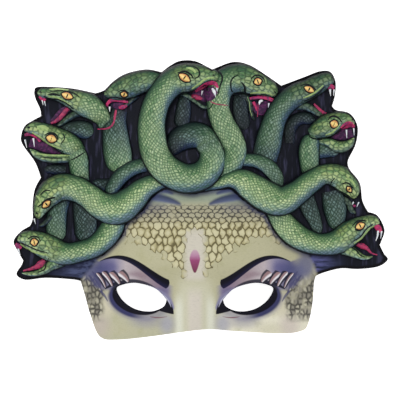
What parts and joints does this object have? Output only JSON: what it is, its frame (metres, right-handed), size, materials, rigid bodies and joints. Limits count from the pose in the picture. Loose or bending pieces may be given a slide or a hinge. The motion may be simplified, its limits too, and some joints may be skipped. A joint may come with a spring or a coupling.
{
  "type": "medusa costume half mask",
  "caption": "Moulded foam half mask with almond eye openings and a crown of snakes in relief, vaulted to fit a face, with flat side wings.",
  "frame": {"origin": "middle of the mask's footprint, on the surface that it lies on", "axes": "+X across the face towards the right of the view, +Y from the cheeks up to the crown, +Z out of the printed face; the mask lies face up on its two flat wings"},
  "size_m": [0.251, 0.1864, 0.0504],
  "materials": {
    "printed_foam": "moulded foam sheet with a satin printed face and a dark matt back"
  },
  "bodies": {
    "root": {"medusa_mask": "printed_foam"}
  },
  "joints": []
}
